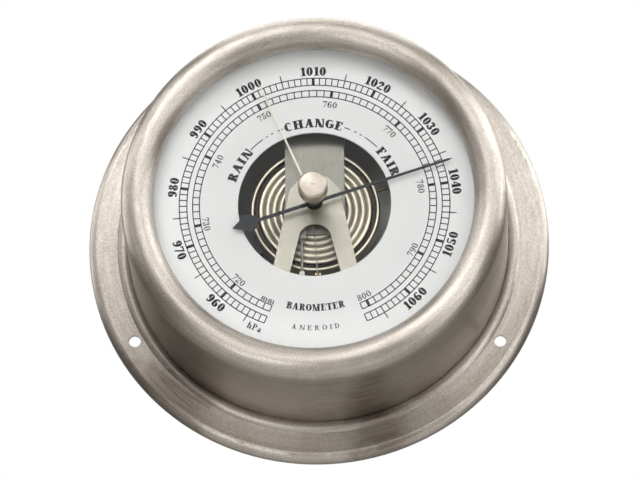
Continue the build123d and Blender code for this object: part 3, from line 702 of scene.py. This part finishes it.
materials = {
    "case": case_steel(),
    "cover": satin_paint("cover_paint", (0.025, 0.025, 0.027), 0.45, 1800, 0.03, wear=(0.4, 0.38, 0.35)),
    "black": moulded_plastic("black_plastic", (0.012, 0.012, 0.012), 0.6),
    "dial": dial_paint(),
    "spacer": moulded_plastic("spacer_plastic", (0.7, 0.7, 0.7), 0.5),
    "glass": clear_glass(),
    "rubber": moulded_plastic("gasket_rubber", (0.03, 0.03, 0.03), 0.7),
    "ink": printing_ink(),
    "base": zinc_plate(),
    "pillar": drawn_metal("pillar_metal", (0.62, 0.50, 0.28), 0.3, "x"),
    "cover_screw": slotted_metal(),
    "screw": drawn_metal("screw_metal", (0.55, 0.53, 0.50), 0.3, "x"),
    "capsule": capsule_metal(),
    "brass": drawn_metal("brass_metal", (0.68, 0.52, 0.26), 0.3, "x"),
    "copper": drawn_metal("copper_metal", (0.16, 0.11, 0.085), 0.45, "x"),
    "spring": drawn_metal("spring_metal", (0.31, 0.30, 0.265), 0.44, "z"),
    "lever": drawn_metal("lever_metal", (0.30, 0.285, 0.255), 0.36, "z"),
    "tip": drawn_metal("tip_metal", (0.55, 0.52, 0.45), 0.35, "x"),
    "chain": drawn_metal("chain_metal", (0.35, 0.35, 0.38), 0.35, "z"),
    "bridge": drawn_metal("bridge_metal", (0.50, 0.475, 0.41), 0.46, "z", 0.12),
    "hair": drawn_metal("hairspring_metal", (0.5, 0.45, 0.32), 0.3, "x"),
    "pointer": satin_paint("pointer_paint", (0.014, 0.016, 0.022), 0.5, shine=0.2),
    "hand": satin_paint("hand_paint", (0.66, 0.63, 0.54), 0.45, shine=0.3),
    "bush": satin_paint("bush_paint", (0.008, 0.008, 0.008), 0.4),
    "knob": turned_metal("knob_metal", (0.52, 0.47, 0.40), 0.36),
}

node_finish = {
    "case": ["case_shell"],
    "cover": ["back_cover"],
    "black": ["dial_sleeve", "rim_stop_block"],
    "dial": ["dial"],
    "spacer": ["glass_spacer_ring"],
    "glass": ["glass"],
    "rubber": ["glass_gasket"],
    "base": ["base_plate", "spring_clamp", "rocker_bracket"],
    "pillar": ["base_pillars", "bridge_pillars"],
    "cover_screw": ["cover_screws"],
    "screw": [
        "base_screws", "spring_screws", "bracket_screws", "bridge_screws", "pillar_screws",
        "cock_screws",
    ],
    "capsule": ["capsule_front", "capsule_back"],
    "brass": [
        "capsule_stud", "capsule_post", "capsule_nut", "crank_arm", "pull_arm", "bridge_bush",
        "arbor_cock", "cock_spacers", "chain_drum", "hairspring_collet", "hairspring_stud",
        "adjusting_bush", "adjusting_screw",
    ],
    "copper": ["seal_tube"],
    "spring": ["main_spring"],
    "lever": [
        "lever_block", "lever_rod", "link_wire", "rocker_shaft", "pointer_arbor", "set_shaft",
        "knob_washer",
    ],
    "tip": ["rod_tip_block"],
    "chain": ["drive_chain"],
    "bridge": ["arbor_bridge"],
    "hair": ["hairspring"],
    "pointer": ["pressure_pointer", "pointer_collet"],
    "hand": ["set_hand"],
    "bush": ["glass_bush", "bush_nut"],
    "knob": ["set_knob"],
}
for finish, names in node_finish.items():
    for name in names:
        nodes[name].data.materials.clear()
        nodes[name].data.materials.append(materials[finish])

# ---------------------------------------------------------------- dial print
thin_line = 0.28 * MM
bold_line = 0.78 * MM
hpa_at_top = 1010
hpa_first, hpa_last = 952, 1068
mm_first, mm_last = 714, 801
half_sweep = 157.8
degrees_per_hpa = half_sweep / (hpa_last - hpa_at_top)
hpa_per_mm = 1.333224
words_radius = 23.2 * MM
units_angle = -154.9


def hpa_angle(pressure):
    """Dial angle of a pressure in hectopascals."""
    return (pressure - hpa_at_top) * degrees_per_hpa


def mm_angle(reading):
    """Dial angle of a reading in millimetres of mercury."""
    return hpa_angle(reading * hpa_per_mm)


def ladder(printed, inner, outer, first, last, angle_of):
    """Closed ladder track, with a bold rung at each ten."""
    start, end = angle_of(first), angle_of(last)
    for radius in (inner, outer):
        printed.arc(radius - thin_line / 2, radius + thin_line / 2, start, end)
    for value in range(first, last + 1):
        bold = value % 10 == 0
        printed.tick(inner, outer, angle_of(value), bold_line if bold else thin_line)


bold_font = make_font(0.28, 0.09)
word_font = make_font(0.31, 0.11)
light_font = make_font(0.18, 0.08)
hpa_inner, hpa_outer = 34.12 * MM, 36.17 * MM
mm_inner, mm_outer = 30.78 * MM, 32.59 * MM

hpa_scale = Print()
ladder(hpa_scale, hpa_inner, hpa_outer, hpa_first, hpa_last, hpa_angle)
for value in range(955, 1066, 10):
    hpa_scale.tick(hpa_outer, hpa_outer + 1.85 * MM, hpa_angle(value), thin_line)
mm_scale = Print()
ladder(mm_scale, mm_inner, mm_outer, mm_first, mm_last, mm_angle)

hpa_numbers = Print()
number_height = 2.5 * MM
for value in range(960, 1061, 10):
    flipped = not 980 <= value <= 1040
    base = hpa_outer + 0.75 * MM + (number_height if flipped else 0)
    hpa_numbers.number(str(value), bold_font, number_height, base, hpa_angle(value), flipped, 0.09, 1.08)

mm_numbers = Print()
small_height = 1.78 * MM
for value in range(720, 801, 10):
    flipped = not 740 <= value <= 780
    base = mm_inner - (0.5 * MM if flipped else 1.15 * MM + small_height)
    mm_numbers.number(str(value), light_font, small_height, base, mm_angle(value), flipped)

words = Print()
word_height = 2.5 * MM
word_base = words_radius - word_height / 2
for text, first, last in (("RAIN", -69.6, -50.8), ("CHANGE", -17.2, 16.8), ("FAIR", 50.8, 67.6)):
    words.word(text, word_font, word_height, word_base, first, last)

dashes = Print()
for start, end in ((20.8, 24.8), (27.9, 29.7), (32.0, 33.6), (36.0, 46.8)):
    for side in (-1, 1):
        low, high = sorted((side * start, side * end))
        dashes.arc(words_radius - thin_line / 2, words_radius + thin_line / 2, low, high)

units = Print()
units.number("hPa", light_font, 1.85 * MM, 39.1 * MM, units_angle, True, 0.06, 1.05)
units.number("mm", light_font, 1.7 * MM, mm_inner - 0.35 * MM, units_angle, True, 0.08, 1.05)

title = Print()
title.number("BAROMETER", bold_font, 1.95 * MM, 30.4 * MM, 180, True, 0.07)
title.number("ANEROID", light_font, 1.35 * MM, 35.8 * MM, 180, True, 0.55, 1.15)

prints = {
    "hpa_scale": hpa_scale,
    "mm_scale": mm_scale,
    "hpa_numbers": hpa_numbers,
    "mm_numbers": mm_numbers,
    "weather_words": words,
    "dashes": dashes,
    "units": units,
    "title": title,
}
for name, printed in prints.items():
    printed.finish("print_" + name)

# ---------------------------------------------------------------- studio
scene = bpy.context.scene
scene.view_settings.view_transform = "Standard"
light_distance = 1.2
floor_drop = 0.85
floor_half = 4.0


def aim_camera():
    """Long-lens camera below the dial's axis, turned a little to one side."""
    tilt, pan, roll = radians(-20.506), radians(-1.914), radians(0.607)
    distance = 1632.33 * MM
    shift = Vector((-0.2593, -1.7516, 0)) * MM
    facing = Matrix(((1, 0, 0), (0, 0, 1), (0, -1, 0)))
    turn = Matrix.Rotation(roll, 3, "Z") @ Matrix.Rotation(tilt, 3, "X")
    turn = turn @ Matrix.Rotation(pan, 3, "Y") @ facing
    camera = bpy.data.objects.new("camera", bpy.data.cameras.new("camera"))
    scene.collection.objects.link(camera)
    back = turn.transposed()
    place = back @ (Vector((0, 0, distance)) - shift)
    camera.matrix_world = Matrix.Translation(place) @ back.to_4x4()
    camera.data.sensor_width = 36
    camera.data.lens = 337.5
    camera.data.clip_start = 0.05
    camera.data.clip_end = 50
    scene.camera = camera


def softbox(name, clockwise, from_axis, size, watts):
    """Square soft light, placed by its dial angle and its angle away from the dial's axis."""
    light = bpy.data.lights.new(name, "AREA")
    light.shape = "SQUARE"
    light.size = size
    light.energy = watts
    lamp = bpy.data.objects.new(name, light)
    scene.collection.objects.link(lamp)
    x, z = on_dial(sin(radians(from_axis)), clockwise)
    out = Vector((x, -cos(radians(from_axis)), z))
    lamp.location = out * light_distance
    lamp.rotation_mode = "QUATERNION"
    lamp.rotation_quaternion = out.to_track_quat("Z", "Y")


def studio_world():
    """White behind the object to the camera, and a dim warm room, paler above, to everything else."""
    world = bpy.data.worlds.new("studio")
    scene.world = world
    world.use_nodes = True
    tree = world.node_tree
    tree.nodes.clear()
    output = tree.nodes.new("ShaderNodeOutputWorld")
    seen = tree.nodes.new("ShaderNodeBackground")
    seen.inputs[0].default_value = (1, 1, 1, 1)
    fill = tree.nodes.new("ShaderNodeBackground")
    way = tree.nodes.new("ShaderNodeTexCoord")
    axes = tree.nodes.new("ShaderNodeSeparateXYZ")
    tree.links.new(way.outputs["Generated"], axes.inputs[0])
    height = tree.nodes.new("ShaderNodeMapRange")
    height.inputs["From Min"].default_value = -0.5
    height.inputs["From Max"].default_value = 0.6
    tree.links.new(axes.outputs["Z"], height.inputs["Value"])
    shade = tree.nodes.new("ShaderNodeMix")
    shade.data_type = "RGBA"
    shade.inputs[6].default_value = (0.085, 0.07, 0.058, 1)
    shade.inputs[7].default_value = (0.24, 0.22, 0.20, 1)
    tree.links.new(height.outputs[0], shade.inputs[0])
    tree.links.new(shade.outputs[2], fill.inputs[0])
    path = tree.nodes.new("ShaderNodeLightPath")
    both = tree.nodes.new("ShaderNodeMixShader")
    tree.links.new(path.outputs["Is Camera Ray"], both.inputs[0])
    tree.links.new(fill.outputs[0], both.inputs[1])
    tree.links.new(seen.outputs[0], both.inputs[2])
    tree.links.new(both.outputs[0], output.inputs[0])


def pale_floor():
    """Wide floor below the object."""
    corners = [(x * floor_half, y * floor_half, 0) for x, y in ((-1, -1), (1, -1), (1, 1), (-1, 1))]
    mesh = bpy.data.meshes.new("floor")
    mesh.from_pydata(corners, [], [(0, 1, 2, 3)])
    floor = bpy.data.objects.new("floor", mesh)
    floor.location.z = -floor_drop
    scene.collection.objects.link(floor)
    f = Finish("floor_paint", (0.72, 0.72, 0.71), 0.0, 0.7)
    mottle = f.noise(f.place(), 3, 3)
    f.set(Base_Color=f.mix(f.span(mottle, 0.3, 0.7), (0.70, 0.70, 0.69), (0.74, 0.74, 0.73)))
    # seen straight, the floor glows softly so that it reads as pale as the backdrop
    path = f.add("ShaderNodeLightPath")
    glow = f.maths("MULTIPLY", path.outputs["Is Camera Ray"], 0.75)
    f.set(Emission_Color=(0.9, 0.9, 0.89, 1), Emission_Strength=glow)
    mesh.materials.append(f.material)
    floor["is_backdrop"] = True


aim_camera()
studio_world()
pale_floor()
softbox("key", 335, 40, 0.45, 2.6)
softbox("front", 0, 18, 0.7, 3.1)
softbox("upper_right", 52, 48, 0.7, 2.6)
softbox("right", 62, 82, 0.8, 5.2)
softbox("front_right", 96, 33, 0.5, 1.9)
softbox("lower_right", 118, 62, 0.6, 1.4)
softbox("left", 290, 62, 0.8, 1.2)
softbox("lower_left", 220, 30, 0.5, 1.7)
softbox("lower_front", 200, 15, 0.6, 0.6)
softbox("upper_gap", 40, 72, 0.5, 1.2)
softbox("left_gap", 312, 72, 0.5, 1.4)
softbox("top", 0, 82, 0.9, 3.5)
softbox("back_top", 0, 118, 1.0, 6.0)
softbox("back_right", 50, 112, 0.7, 3.0)
softbox("back_left", 292, 102, 0.7, 3.0)

# ---------------------------------------------------------------- bounds of the object
low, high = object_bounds()
